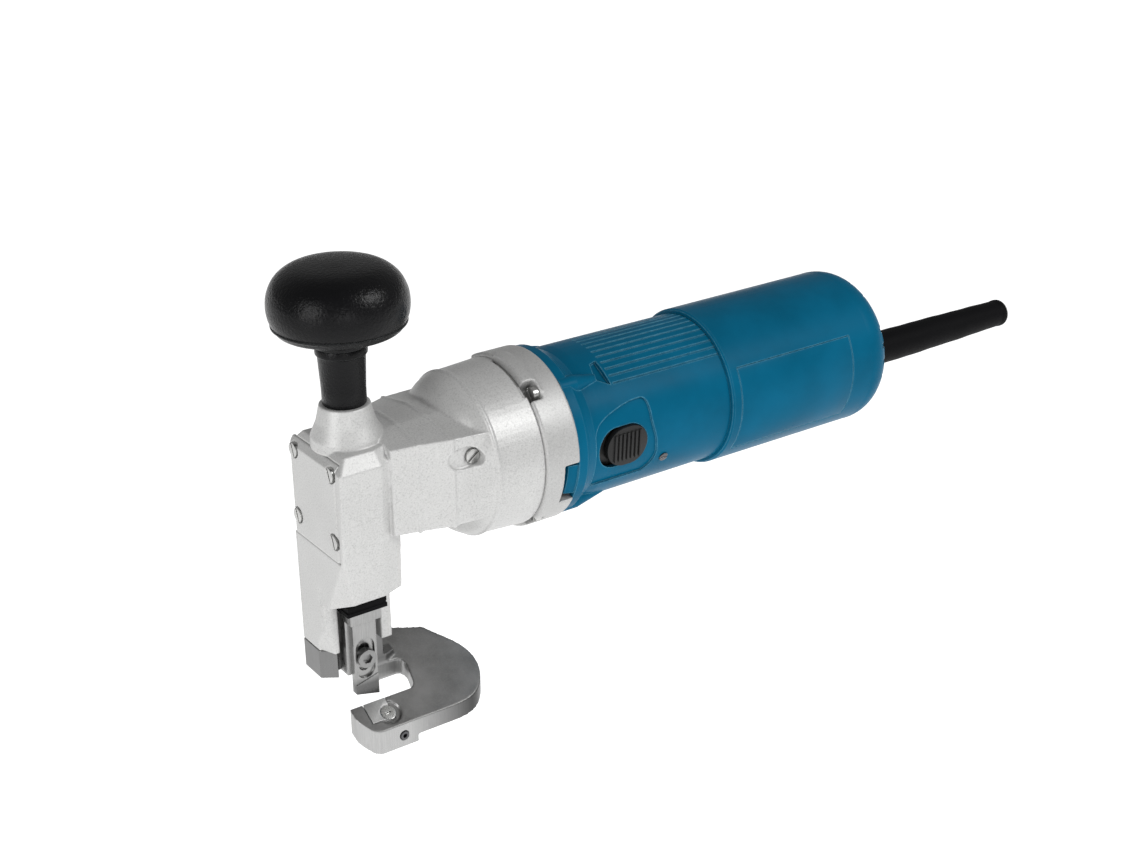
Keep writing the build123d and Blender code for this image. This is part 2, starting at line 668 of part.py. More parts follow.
with BuildPart() as rotor_core:
    tube(103, 141, 15.8, 5.05)
    for slot in range(12):
        rod(102, 142, 1.7, *around(13.2, slot * 30), Mode.SUBTRACT)
finish(rotor_core.part, "rotor_core")

with BuildPart() as rotor_windings:
    tube(97.2, 102.9, 14.6, 5.05)
    tube(141.1, 147, 14.6, 5.05)
    for slot in range(12):
        rod(102.8, 141.2, 1.55, *around(13.2, slot * 30))
finish(rotor_windings.part, "rotor_windings")

with BuildPart() as commutator:
    tube(149, 162, 9.4, 5.05)
    chamfer(commutator.faces().sort_by(Axis.X)[-1].edges().sort_by(SortBy.LENGTH)[-1], 0.6)
finish(commutator.part, "commutator")

with BuildPart() as fan:
    tube(86.5, 95, 8, 5.05)
    tube(86.5, 88, 29.5, 7)
    blade_count = 11
    for blade in range(blade_count):
        turn = 360 * blade / blade_count
        with Locations(Location((87.5, *around(18.5, turn)), (turn - 90 + 25, 0, 0))):
            Box(7, 1.4, 21, align=(Align.MIN, Align.CENTER, Align.CENTER))
    rod(86, 96, 5.05, mode=Mode.SUBTRACT)
finish(fan.part, "fan")

with BuildPart() as layshaft:
    gear(49, 60.5, layshaft_pinion_teeth, gap_up(layshaft_pinion_teeth), layshaft_z)
    rod(43, 49, 2.5, z=layshaft_z)
    rod(60.5, 71.5, 3.5, z=layshaft_z)
    rod(71.5, 76.8, 2.5, z=layshaft_z)
finish(layshaft.part, "layshaft")

with BuildPart() as layshaft_gear:
    gear(62.5, 70.5, layshaft_teeth, gap_up(layshaft_teeth), layshaft_z)
    rod(62, 71, 3.55, z=layshaft_z, mode=Mode.SUBTRACT)
    for angle in range(0, 360, 60):
        turn = math.radians(angle)
        rod(62, 71, 2.2, axis_y + 8.5 * math.cos(turn), layshaft_z + 8.5 * math.sin(turn),
            Mode.SUBTRACT)
finish(layshaft_gear.part, "layshaft_gear")

pin_z = axis_z + eccentric
with BuildPart() as crank_shaft:
    rod(-6, 6.2, 3.0, z=pin_z)
    rod(6, 9, 9.0)
    rod(9, 43.2, 6.0)
    rod(43.2, 60, 5.0)
finish(crank_shaft.part, "crank_shaft")

with BuildPart() as crank_gear:
    gear(50, 59, crank_teeth, tooth_down(crank_teeth))
    rod(49, 60, 5.05, mode=Mode.SUBTRACT)
finish(crank_gear.part, "crank_gear")

with BuildPart() as eccentric_bearing:
    tube(-5.5, 4.5, 5.0, 3.05, z=pin_z)
finish(eccentric_bearing.part, "eccentric_bearing")

# ================= ram, guide and blades =================

ram_x = 7.5                       # half depth of the ram bar
ram_y = (-2.0, 12.0)
ram_low_y = 3.8                   # the blade is bolted on this face
blade_top = 41.0
blade_half = 5.5
blade_front_z = 5.9               # cutting edge at rest, front and rear
blade_rear_z = 3.2
yoke_z = (axis_z + eccentric - 14.2, axis_z + eccentric + 14.2)
screw_z = 22.6                    # blade screw

with BuildPart() as ram:
    # yoke with the window that the eccentric bearing turns in
    block((-6.5, 4.8), (axis_y - 11.6, axis_y + 11.6), yoke_z)
    block((-7, 5.3), (axis_y - 8.4, axis_y + 8.4), (pin_z - 11.4, pin_z + 11.4), Mode.SUBTRACT)
    # bar through the guide, and the low plate for the blade
    block((-ram_x, ram_x), ram_y, (blade_top, yoke_z[0]))
    block((-ram_x, ram_x), (ram_low_y, ram_y[1]), (14, blade_top))
    chamfer(ram.faces().sort_by(Axis.Z)[0].edges(), 0.6)
    with Locations(Location((0, ram_low_y, screw_z), (90, 0, 0))):
        Cylinder(2.05, 20, mode=Mode.SUBTRACT)
finish(ram.part, "ram")

with BuildPart() as upper_blade:
    with BuildSketch(Plane.XZ.offset(-ram_low_y)) as blade_side:
        with BuildLine():
            Polyline((-blade_half, blade_front_z), (blade_half, blade_rear_z),
                     (blade_half, blade_top), (-blade_half, blade_top), close=True)
        make_face()
    extrude(amount=ram_low_y - blade_gap)
    # relief above the ground cutting land
    with BuildSketch(Plane.XZ.offset(-blade_gap)) as relief:
        with BuildLine():
            Polyline((-10, 9.1), (10, 14.3), (10, 50), (-10, 50), close=True)
        make_face()
    extrude(amount=-0.4, mode=Mode.SUBTRACT)
    # long recess and slot, so that the blade can be set down as it wears
    with BuildSketch(Plane.XZ.offset(-blade_gap)) as recess:
        with Locations((0, 22.2)):
            SlotOverall(19.5, 9.0, rotation=90)
    extrude(amount=-2.0, mode=Mode.SUBTRACT)
    with BuildSketch(Plane.XZ.offset(-blade_gap)) as through:
        with Locations((0, 22.2)):
            SlotOverall(13.5, 5.4, rotation=90)
    extrude(amount=-6, mode=Mode.SUBTRACT)
finish(upper_blade.part, "upper_blade")

with BuildPart() as upper_blade_screw:
    with BuildSketch(Plane.XZ.offset(-2.3)) as head:
        with Locations((0, screw_z)):
            Circle(4.25)
    extrude(amount=3.6)
    with BuildSketch(Plane.XZ.offset(1.3)) as socket:
        with Locations((0, screw_z)):
            RegularPolygon(2.3, 6)
    extrude(amount=-2, mode=Mode.SUBTRACT)
    with BuildSketch(Plane.XZ.offset(-2.3)) as shank:
        with Locations((0, screw_z)):
            Circle(2.0)
    extrude(amount=-9.5)
finish(upper_blade_screw.part, "upper_blade_screw")

guide_hole = ((-ram_x - fit, ram_x + fit), (ram_y[0] - fit, ram_y[1] + fit))
with BuildPart() as ram_guide:
    block((cavity[0] + 0.1, cavity[1] - 0.1), (cavity_y[0] + 0.1, cavity_y[1] - 0.1), (61.1, 84.8))
    block((-9.7, 10.5), (-3.1, 13.1), (59, 61.1))
    block(*guide_hole, (58, 87), Mode.SUBTRACT)
finish(ram_guide.part, "ram_guide")

with BuildPart() as ram_seal:
    # three-lipped wiper round the ram
    block((-9.7, 10.5), (-3.1, 13.1), (55, 58.9))
    for lip in range(3):
        block((-9.2 + 0.3 * lip, 10.0 - 0.3 * lip), (-3.0, 13.0),
              (46.2 + 3.0 * lip, 48.0 + 3.0 * lip))
        block((-8.7, 9.5), (-2.8, 12.8), (48.0 + 3.0 * lip, 49.2 + 3.0 * lip))
    block((-ram_x - 0.3, ram_x + 0.3), (ram_y[0] - 0.3, ram_y[1] + 0.3), (46, 60), Mode.SUBTRACT)
finish(ram_seal.part, "ram_seal")

# ================= cutting table =================

tilt = math.radians(table_tilt)
table_plane = Plane(origin=(0, 0, 0), x_dir=(1, 0, 0),
                    z_dir=(0, -math.sin(tilt), math.cos(tilt)))
arm_edge = -13.0 / math.cos(tilt)      # camera-side rim, measured down the slope
far_edge = 27.6 / math.cos(tilt)
slot_edge = 13.8 / math.cos(tilt)
throat_x = 24.2
table_x1 = 55.8
insert_x = (-3.2, 7.4)
insert_s = -9.8
insert_thick = 5.2
foot_x1 = 11.4                    # foot of the lower blade, gripped by the set screw
foot_thick = 10.2
head_x1 = 16.5
blade_screw = (5.9, -7.2)         # lower blade screw, on the table's slope
set_screw = (9.5, -13.5)          # X and Z of the clearance set screw



def seat_block(xs, slope, top_depth, low_depth, mode=Mode.ADD):
    """Block with upright walls between two depths under the table's slope."""
    with BuildSketch(table_plane) as plan:
        with Locations(((xs[0] + xs[1]) / 2, (slope[0] + slope[1]) / 2)):
            Rectangle(xs[1] - xs[0], slope[1] - slope[0])
    sunk = plan.sketch.moved(Location((0, 0, -top_depth)))
    extrude(sunk, amount=low_depth - top_depth, dir=(0, 0, -1), mode=mode)


with BuildPart() as cutting_table:
    # tilted plate with the C-shaped opening that the metal flows through
    with BuildSketch(table_plane) as plate:
        with BuildLine():
            Line((0, arm_edge), (33, arm_edge))
            Spline((33, arm_edge), (50.6, -10.2), (table_x1, -1.2), (52.4, 13.8), (42.6, 25.4),
                   (27, far_edge), tangents=((1, 0), (-1, 0.35)))
            Polyline((27, far_edge), (6, far_edge), (6, slot_edge), (20, slot_edge))
            Spline((20, slot_edge), (throat_x, 7), (18, 0), tangents=((1, 0), (-1, 0)))
            Line((18, 0), (-9.6, 0))
            Line((-9.6, 0), (-9.6, -3))
            Spline((-9.6, -3), (-7, -10), (0, arm_edge), tangents=((0, -1), (1, 0)))
        make_face()
    extrude(amount=table_thick, dir=(0, 0, -1))
    # thicker head that carries the lower blade
    with BuildSketch(table_plane) as head_plan:
        with BuildLine():
            Polyline((0, arm_edge), (head_x1, arm_edge), (head_x1, 0), (-9.6, 0), (-9.6, -3))
            Spline((-9.6, -3), (-7, -10), (0, arm_edge), tangents=((0, -1), (1, 0)))
        make_face()
    extrude(amount=head_thick, dir=(0, 0, -1))
    # mounting block under the leg, with its foot down to the plate
    prism([(column_front, 12.5), (-9.4, 8), (-9.4, 13.9), (16, 13.9), (16, 26.8),
           (column_front, 26.8)], 12, leg_base - 0.05)
    prism([(5, 13.9), (17, 13.9), (22, 16), (22, 26.8), (5, 26.8)], 4, 12)
    # trim everything that would lean over the shearing plane beside the blade
    block((-12, 9), (0, 8), (-20, 4), Mode.SUBTRACT)
    # holes for the two table bolts, with counterbores from below
    with Locations((-10, 21, 5), (9, 20, 5)):
        Cylinder(2.6, 25, align=low_centre, mode=Mode.SUBTRACT)
    with Locations((-10, 21, -10), (9, 20, -10)):
        Cylinder(4.4, 27, align=low_centre, mode=Mode.SUBTRACT)
    # seat of the lower blade
    seat_block((insert_x[0] - fit, insert_x[1] + fit), (insert_s - fit, 2), 0, foot_thick + fit,
               Mode.SUBTRACT)
    seat_block((insert_x[0] - fit, foot_x1 + fit), (insert_s - fit, 2), insert_thick - fit,
               foot_thick + fit, Mode.SUBTRACT)
    # screw hole of the lower blade, then the clearance set screw from the side
    with Locations(table_plane.location):
        with Locations((*blade_screw, -15)):
            Cylinder(1.85, 12.5, align=low_centre, mode=Mode.SUBTRACT)
        with Locations((*blade_screw, -2.9)):
            Cone(1.85, 4.2, 3.2, align=low_centre, mode=Mode.SUBTRACT)
        with Locations((*blade_screw, -1.2)):
            Cylinder(5.6, 3, align=low_centre, mode=Mode.SUBTRACT)
    with BuildSketch(Plane.XZ.offset(20)) as set_hole:
        with Locations(set_screw):
            Circle(2.05)
    extrude(amount=-12.8, mode=Mode.SUBTRACT)
finish(cutting_table.part, "cutting_table")

with BuildPart() as lower_blade:
    seat_block(insert_x, (insert_s, 4), 0, foot_thick)
    seat_block((insert_x[0], foot_x1), (insert_s, 4), insert_thick, foot_thick)
    split(bisect_by=Plane(origin=(0, 0, 0), z_dir=(0, -1, 0)), keep=Keep.TOP)
    # the edge falls a little towards the front, so that the blades open like scissors
    split(bisect_by=Plane(origin=(insert_x[1], 0, 0), z_dir=(0.10, -math.sin(tilt), math.cos(tilt))),
          keep=Keep.BOTTOM)
    with Locations(table_plane.location):
        with Locations((*blade_screw, -10)):
            Cylinder(1.85, 12, align=low_centre, mode=Mode.SUBTRACT)
        with Locations((*blade_screw, -2.9)):
            Cone(1.85, 4.2, 3.2, align=low_centre, mode=Mode.SUBTRACT)
finish(lower_blade.part, "lower_blade")

with BuildPart() as lower_blade_screw:
    with Locations(table_plane.location):
        with Locations((*blade_screw, -2.7)):
            Cone(1.7, 3.4, 2.2, align=low_centre)
        with Locations((*blade_screw, -11)):
            Cylinder(1.7, 8.4, align=low_centre)
        with Locations((*blade_screw, -1.7)):
            Box(2.6, 0.9, 1.6, align=low_centre, mode=Mode.SUBTRACT)
finish(lower_blade_screw.part, "lower_blade_screw")

with BuildPart() as clearance_set_screw:
    with BuildSketch(Plane.XZ.offset(13.4)) as point:
        with Locations(set_screw):
            Circle(2.0)
            RegularPolygon(1.1, 6, mode=Mode.SUBTRACT)
    extrude(amount=-2.4)
    with BuildSketch(Plane.XZ.offset(11)) as tip:
        with Locations(set_screw):
            Circle(2.0)
    extrude(amount=-2.4)
finish(clearance_set_screw.part, "clearance_set_screw")

with BuildPart() as table_screws:
    for x, y in ((-10, 21), (9, 20)):
        with Locations((x, y, 12.6)):
            Cylinder(4.2, 4.4, align=low_centre)
        with BuildSketch(Plane.XY.offset(12.6)) as socket:
            with Locations((x, y)):
                RegularPolygon(2.3, 6)
        extrude(socket.sketch, amount=2.4, mode=Mode.SUBTRACT)
        with Locations((x, y, 17)):
            Cylinder(2.0, 21, align=low_centre)
finish(table_screws.part, "table_screws")

# ================= auxiliary handle =================

with BuildPart() as knob_stem:
    turned([(4.1, stem_z0 + 0.1), (stem_low_r, stem_z0 + 0.1), (10.1, knob_z0 - 2.4),
            (10.8, knob_z0 - 1.4), (10.8, knob_z0), (4.1, knob_z0)], plane=upright, axis=ram_axis)
finish(knob_stem.part, "knob_stem")

with BuildPart() as knob:
    with BuildSketch(upright) as crown_profile:
        with BuildLine():
            Spline((0, knob_z1), (15, knob_z1 - 1.0), (24.3, knob_z1 - 6.3),
                   (knob_r - 0.2, knob_z1 - 15.8), (knob_r - 1.2, knob_z1 - 24.8),
                   tangents=((1, 0), (-0.25, -1)))
            ThreePointArc((knob_r - 1.2, knob_z1 - 24.8), (25.8, knob_z1 - 27.7),
                          (22, knob_z1 - 29.2))
            Polyline((22, knob_z1 - 29.2), (11, knob_z0), (4.1, knob_z0), (4.1, knob_z0 + 20),
                     (0, knob_z0 + 20), (0, knob_z1))
        make_face()
    revolve(crown_profile.sketch, axis=ram_axis)
finish(knob.part, "knob")

with BuildPart() as knob_stud:
    with Locations((0, axis_y, stem_z0 - 13.5)):
        Cylinder(4.0, 13.5 + knob_z0 - stem_z0 + 19, align=low_centre)
    chamfer(knob_stud.edges().filter_by(GeomType.CIRCLE), 0.6)
finish(knob_stud.part, "knob_stud")
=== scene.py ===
import json
import math

import bmesh
import bpy
from mathutils import Matrix, Vector


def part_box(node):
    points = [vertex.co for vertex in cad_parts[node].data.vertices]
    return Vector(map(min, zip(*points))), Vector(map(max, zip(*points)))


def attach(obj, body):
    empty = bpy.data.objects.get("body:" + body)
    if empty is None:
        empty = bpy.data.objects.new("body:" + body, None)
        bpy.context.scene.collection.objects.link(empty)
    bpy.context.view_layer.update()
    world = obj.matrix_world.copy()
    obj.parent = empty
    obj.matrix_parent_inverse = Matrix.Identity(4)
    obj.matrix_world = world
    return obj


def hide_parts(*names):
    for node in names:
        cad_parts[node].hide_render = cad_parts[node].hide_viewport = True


MM = 0.001

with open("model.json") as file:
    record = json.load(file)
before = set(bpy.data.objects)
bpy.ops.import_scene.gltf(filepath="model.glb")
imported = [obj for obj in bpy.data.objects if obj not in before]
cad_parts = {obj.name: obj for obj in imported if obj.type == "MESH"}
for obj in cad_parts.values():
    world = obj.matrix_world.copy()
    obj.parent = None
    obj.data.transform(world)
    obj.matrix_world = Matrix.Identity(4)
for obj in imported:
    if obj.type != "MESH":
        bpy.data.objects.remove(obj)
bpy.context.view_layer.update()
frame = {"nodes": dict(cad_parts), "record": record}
nodes = frame["nodes"]
slots = {s["node"]: s["material_slot"] for s in frame["record"]["subparts"]}
body_of = {n: b for b, ns in frame["record"]["behaviour"]["bodies"].items() for n in ns}
scene = bpy.context.scene

sleeve_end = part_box("bend_sleeve")[1].x         # open end of the sleeve
blade_edge = 0.0                                # height of the cutting point, the origin
step_foot = blade_edge + 0.006                  # the block under the leg rises from the table
step_dark = blade_edge + 0.011
rim_light, rim_dark = 0.012, 0.045              # side wall of the table darkens along X

# ---------------------------------------------------------------- camera, light, floor

AZIMUTH, ELEVATION, ROLL = math.radians(-34.85), math.radians(23.72), math.radians(-0.70)
CAMERA_PLACE = (-0.3223, -0.6182, 0.4336)
LENS = 58.57
FLOOR_Z, FLOOR_HALF = -0.30, 25
FLOOR_GLOW = 0.80
WORLD_STRENGTH = 0.32


def make_camera():
    """Camera at the photo's angle, turned by AZIMUTH about Z and ELEVATION above the floor."""
    data = bpy.data.cameras.new("camera")
    data.sensor_width = 36
    data.lens = LENS
    data.clip_start, data.clip_end = 0.05, 80
    cam = bpy.data.objects.new("camera", data)
    scene.collection.objects.link(cam)
    sa, ca = math.sin(AZIMUTH), math.cos(AZIMUTH)
    se, ce = math.sin(ELEVATION), math.cos(ELEVATION)
    back = Vector((sa * ce, -ca * ce, se))
    right = Vector((ca, sa, 0))
    up = back.cross(right)
    sr, cr = math.sin(ROLL), math.cos(ROLL)
    right, up = right * cr + up * sr, up * cr - right * sr
    turn = Matrix((right, up, back)).transposed()
    cam.matrix_world = Matrix.Translation(CAMERA_PLACE) @ turn.to_4x4()
    scene.camera = cam


def aim(obj, place, target):
    obj.location = place
    obj.rotation_mode = "QUATERNION"
    obj.rotation_quaternion = (Vector(target) - Vector(place)).to_track_quat("-Z", "Y")


def softbox(name, place, target, size, power):
    data = bpy.data.lights.new(name, "AREA")
    data.shape = "RECTANGLE"
    data.size, data.size_y = size
    data.energy = power
    obj = bpy.data.objects.new(name, data)
    scene.collection.objects.link(obj)
    aim(obj, place, target)


def make_light():
    """Soft studio light: a high key from the right, a fill from the left, a weak front light."""
    softbox("softbox_right", (0.80, -1.00, 1.12), (0.12, 0, 0.09), (0.6, 0.6), 13)
    softbox("softbox_left", (-1.15, -0.35, 0.45), (0.05, 0, 0.07), (0.5, 0.8), 6.5)
    softbox("softbox_front", (-0.30, -1.00, 0.30), (0.05, 0, 0.12), (0.5, 0.35), 1.5)
    world = bpy.data.worlds.new("world")
    world.use_nodes = True
    back = world.node_tree.nodes["Background"]
    back.inputs["Color"].default_value = (1.0, 1.0, 1.0, 1)
    back.inputs["Strength"].default_value = WORLD_STRENGTH
    scene.world = world
    scene.view_settings.view_transform = "Standard"


def make_floor():
    """Pale paper that glows a little, so that it stays white in the render."""
    mesh = bpy.data.meshes.new("floor")
    bm = bmesh.new()
    for x, y in ((-1, -1), (1, -1), (1, 1), (-1, 1)):
        bm.verts.new((x * FLOOR_HALF, y * FLOOR_HALF, FLOOR_Z))
    bm.faces.new(bm.verts)
    bm.to_mesh(mesh)
    bm.free()
    floor = bpy.data.objects.new("floor", mesh)
    scene.collection.objects.link(floor)
    mat, _, shader = blank("floor_paper")
    shader.inputs["Base Color"].default_value = (0.8, 0.8, 0.8, 1)
    shader.inputs["Roughness"].default_value = 0.9
    shader.inputs["Specular IOR Level"].default_value = 0.0
    shader.inputs["Emission Color"].default_value = (1.0, 1.0, 1.0, 1)
    shader.inputs["Emission Strength"].default_value = FLOOR_GLOW
    mesh.materials.append(mat)


# ---------------------------------------------------------------- materials


def blank(name):
    mat = bpy.data.materials.new(name)
    mat.use_nodes = True
    net = mat.node_tree
    return mat, net, net.nodes["Principled BSDF"]


class Net:
    """Small helper that adds nodes to one material."""

    def __init__(self, name):
        self.mat, self.tree, self.shader = blank(name)
        self.coords = self.tree.nodes.new("ShaderNodeTexCoord")

    def link(self, a, b):
        self.tree.links.new(a, b)

    def add(self, kind, **settings):
        node = self.tree.nodes.new(kind)
        for key, value in settings.items():
            setattr(node, key, value)
        return node

    def stretched(self, scale):
        node = self.add("ShaderNodeMapping")
        node.inputs["Scale"].default_value = scale
        self.link(self.coords.outputs["Object"], node.inputs["Vector"])
        return node.outputs["Vector"]

    def place(self, axis):
        split = self.add("ShaderNodeSeparateXYZ")
        self.link(self.coords.outputs["Object"], split.inputs[0])
        return split.outputs[axis]

    def noise(self, scale, detail=3.0, rough=0.55, vector=None):
        node = self.add("ShaderNodeTexNoise")
        node.inputs["Scale"].default_value = scale
        node.inputs["Detail"].default_value = detail
        node.inputs["Roughness"].default_value = rough
        self.link(vector or self.coords.outputs["Object"], node.inputs["Vector"])
        return node.outputs["Fac"]

    def span(self, value, low, high, out_low=0.0, out_high=1.0):
        node = self.add("ShaderNodeMapRange")
        for key, number in (("From Min", low), ("From Max", high),
                            ("To Min", out_low), ("To Max", out_high)):
            node.inputs[key].default_value = number
        self.link(value, node.inputs["Value"])
        return node.outputs["Result"]

    def math(self, kind, a, b):
        node = self.add("ShaderNodeMath", operation=kind)
        for value, socket in ((a, node.inputs[0]), (b, node.inputs[1])):
            if isinstance(value, (int, float)):
                socket.default_value = value
            else:
                self.link(value, socket)
        return node.outputs[0]

    def mix(self, fac, a, b):
        node = self.add("ShaderNodeMix", data_type="RGBA")
        self.link(fac, node.inputs[0])
        for value, socket in ((a, node.inputs[6]), (b, node.inputs[7])):
            if isinstance(value, tuple):
                socket.default_value = (*value, 1)
            else:
                self.link(value, socket)
        return node.outputs[2]

    def bevel(self, radius):
        node = self.add("ShaderNodeBevel", samples=6)
        node.inputs["Radius"].default_value = radius
        return node.outputs["Normal"]

    def edges(self, radius, gain):
        """Mask of the convex and concave edges, from how far a bevelled normal turns away."""
        geometry = self.add("ShaderNodeNewGeometry")
        dot = self.add("ShaderNodeVectorMath", operation="DOT_PRODUCT")
        self.link(self.bevel(radius), dot.inputs[0])
        self.link(geometry.outputs["Normal"], dot.inputs[1])
        turned = self.math("SUBTRACT", 1.0, dot.outputs["Value"])
        return self.span(turned, 0.0, gain)

    def bump(self, height, strength, distance, normal=None):
        node = self.add("ShaderNodeBump")
        node.inputs["Strength"].default_value = strength
        node.inputs["Distance"].default_value = distance
        self.link(height, node.inputs["Height"])
        if normal:
            self.link(normal, node.inputs["Normal"])
        return node.outputs["Normal"]

    def finish(self, colour, rough, normal, metallic=0.0, specular=0.5):
        shader = self.shader
        self.link(colour, shader.inputs["Base Color"])
        self.link(rough, shader.inputs["Roughness"])
        self.link(normal, shader.inputs["Normal"])
        shader.inputs["Metallic"].default_value = metallic
        shader.inputs["Specular IOR Level"].default_value = specular
        return self.mat


GRAIN_DEPTH = 0.00012


def tone(colour, factor):
    return tuple(c * factor for c in colour)


def moulded(name, colour, rough, grain_scale, grain, edge=0.0004, wear_and_highlight=0.25, specular=0.5,
            edge_colour=None, tip=None):
    """Moulded plastic or rubber: fine spark-eroded grain, faint mottling, and lighter edges that
    are partly rubbed wear and partly a painted highlight.

    A tip is (x0, x1, colour): beyond x1 metres along X the piece takes that colour, used as a
    painted highlight on the sleeve's end rim.
    A grain above 1 deepens the bump instead of strengthening it."""
    n = Net(name)
    cloud = n.noise(35, 4)
    fine = n.noise(grain_scale, 2, 0.6)
    base = n.mix(n.span(cloud, 0.35, 0.65), tone(colour, 0.9), tone(colour, 1.1))
    # Spotty lighter edges: partly rubbed wear, partly a painted highlight along the rims.
    rubbed_edge_and_highlight = n.math("MULTIPLY", n.edges(edge * 1.5, 0.25), n.noise(420, 3))
    base = n.mix(n.math("MULTIPLY", rubbed_edge_and_highlight, wear_and_highlight), base, edge_colour or tone(colour, 2.2))
    if tip:
        base = n.mix(n.span(n.place("X"), tip[0], tip[1]), base, tip[2])
    sheen = n.math("ADD", n.span(cloud, 0.3, 0.7, rough - 0.04, rough + 0.05),
                   n.span(fine, 0.3, 0.7, -0.03, 0.05))
    normal = n.bump(fine, min(1.0, grain), GRAIN_DEPTH * max(1.0, grain), n.bevel(edge))
    return n.finish(base, sheen, normal, specular=specular)


def ground(name, colour, rough, stretch=(260, 260, 12), lines=0.3, edge=0.0002, land=None):
    """Machined metal: grinding lines in one direction, light stains, and bright edges that are
    partly wear and partly a painted highlight.

    A land is (low, high, colour): a band of heights, in metres, ground darker."""
    n = Net(name)
    streak = n.noise(9, 3, 0.7, n.stretched(stretch))
    cloud = n.noise(70, 4)
    base = n.mix(n.span(streak, 0.3, 0.7), tone(colour, 0.86), tone(colour, 1.1))
    base = n.mix(n.math("MULTIPLY", n.span(cloud, 0.5, 0.75), 0.36), base, tone(colour, 0.55))
    # Lighter edges: partly wear, partly a painted highlight.
    base = n.mix(n.math("MULTIPLY", n.edges(edge * 1.6, 0.3), 0.5), base,
                 tuple(min(1.0, c * 1.5 + 0.08) for c in colour))
    if land:
        low, high, shade = land
        band = n.math("MINIMUM", n.span(n.place("Z"), low, low + 0.002),
                      n.span(n.place("Z"), high, high - 0.004))
        base = n.mix(n.math("MULTIPLY", band, 0.8), base, shade)
    sheen = n.math("ADD", n.span(streak, 0.3, 0.7, rough - 0.05, rough + 0.06),
                   n.span(cloud, 0.4, 0.8, 0, 0.1))
    return n.finish(base, sheen, n.bump(streak, lines, 0.00004, n.bevel(edge)), metallic=1.0)


def sand_cast(name, shade=1.0):
    """Light aluminium casting: fine sand grain with sparkle, greyer patches, and near-white edges
    that are partly wear and partly a painted highlight.

    A shade below 1 makes all but the edges darker, as a painted shade."""
    n = Net(name)
    cloud = n.noise(28, 4)
    grain = n.noise(1500, 2, 0.65)
    coarse = n.noise(520, 3, 0.6)
    base = n.mix(n.span(cloud, 0.3, 0.7), tone((0.42, 0.42, 0.415), shade),
                 tone((0.50, 0.50, 0.495), shade))
    base = n.mix(n.span(grain, 0.35, 0.7, 0.0, 0.55), base, tone((0.62, 0.62, 0.61), shade))
    base = n.mix(n.span(grain, 0.42, 0.25, 0.0, 0.5), base, (0.25, 0.25, 0.245))
    # Near-white edges: partly rubbed wear, partly a painted highlight along the ridges.
    edge = n.edges(0.0009, 0.22)
    base = n.mix(n.math("MULTIPLY", edge, 0.55), base, (0.93, 0.93, 0.92))
    both = n.math("ADD", n.math("MULTIPLY", grain, 0.6), n.math("MULTIPLY", coarse, 0.7))
    sheen = n.span(cloud, 0.3, 0.7, 0.42, 0.52)
    return n.finish(base, sheen, n.bump(both, 0.5, 0.00016, n.bevel(0.0006)), metallic=0.35)


def table_finish(name):
    """Hardened table: dark scale on the upper face, ground side walls.

    The walls are darker on the block above the table (Z) and towards its rear rim (X)."""
    n = Net(name)
    split = n.add("ShaderNodeSeparateXYZ")
    n.link(n.coords.outputs["Normal"], split.inputs[0])
    upper = n.span(split.outputs["Z"], 0.30, 0.62)
    cloud = n.noise(60, 5, 0.6)
    streak = n.noise(8, 3, 0.7, n.stretched((220, 220, 14)))
    fine = n.noise(1400, 2)
    dark = n.mix(n.span(cloud, 0.3, 0.7), (0.14, 0.139, 0.137), (0.225, 0.223, 0.22))
    dark = n.mix(n.span(fine, 0.45, 0.75, 0, 0.35), dark, (0.24, 0.24, 0.235))
    bright = n.mix(n.span(streak, 0.3, 0.7), (0.34, 0.34, 0.338), (0.40, 0.40, 0.397))
    bright = n.mix(n.span(n.place("Z"), step_foot, step_dark, 0, 0.75), bright, (0.10, 0.10, 0.10))
    bright = n.mix(n.span(n.place("X"), rim_light, rim_dark, 0, 0.92), bright,
                   (0.025, 0.025, 0.025))
    base = n.mix(upper, bright, dark)
    # Lighter edges: partly wear, partly a painted highlight.
    base = n.mix(n.math("MULTIPLY", n.edges(0.0005, 0.25), 0.5), base, (0.75, 0.75, 0.74))
    rough = n.span(upper, 0, 1, 0.30, 0.46)
    sheen = n.math("ADD", rough, n.span(cloud, 0.3, 0.7, -0.05, 0.06))
    both = n.math("ADD", streak, n.math("MULTIPLY", fine, 0.6))
    return n.finish(base, sheen, n.bump(both, 0.14, 0.00006, n.bevel(0.00035)), metallic=0.92)


def stacked(name, colour, along, pitch, rough):
    """Sheet packets or wound wire: fine ridges along one axis, a pitch in metres apart."""
    n = Net(name)
    scale = [0.0, 0.0, 0.0]
    scale["XYZ".index(along)] = 1.0 / pitch
    wave = n.add("ShaderNodeTexWave", bands_direction=along)
    wave.inputs["Scale"].default_value = 0.3
    wave.inputs["Distortion"].default_value = 0.2
    n.link(n.stretched(tuple(scale)), wave.inputs["Vector"])
    cloud = n.noise(120, 3)
    base = n.mix(wave.outputs["Fac"], tone(colour, 0.45), tone(colour, 1.15))
    base = n.mix(n.span(cloud, 0.4, 0.8, 0, 0.4), base, tone(colour, 0.6))
    return n.finish(base, n.span(cloud, 0.3, 0.7, rough - 0.06, rough + 0.08),
                    n.bump(wave.outputs["Fac"], 0.5, 0.0001), metallic=1.0)


BLUE = (0.0015, 0.092, 0.172)
# Pale blue for the edges of the blue plastic: mostly a painted highlight on the rims, with some
# wear.
BLUE_EDGE_HIGHLIGHT = (0.16, 0.42, 0.56)
KNOB_BLACK = (0.002, 0.002, 0.0025)
RUBBER_BLACK = (0.004, 0.004, 0.0045)
# Light grey for the sleeve's end rim: a painted highlight.
SLEEVE_END_HIGHLIGHT = (0.42, 0.42, 0.41)
STEEL = (0.30, 0.30, 0.297)
DARK_LAND = (0.07, 0.07, 0.07)

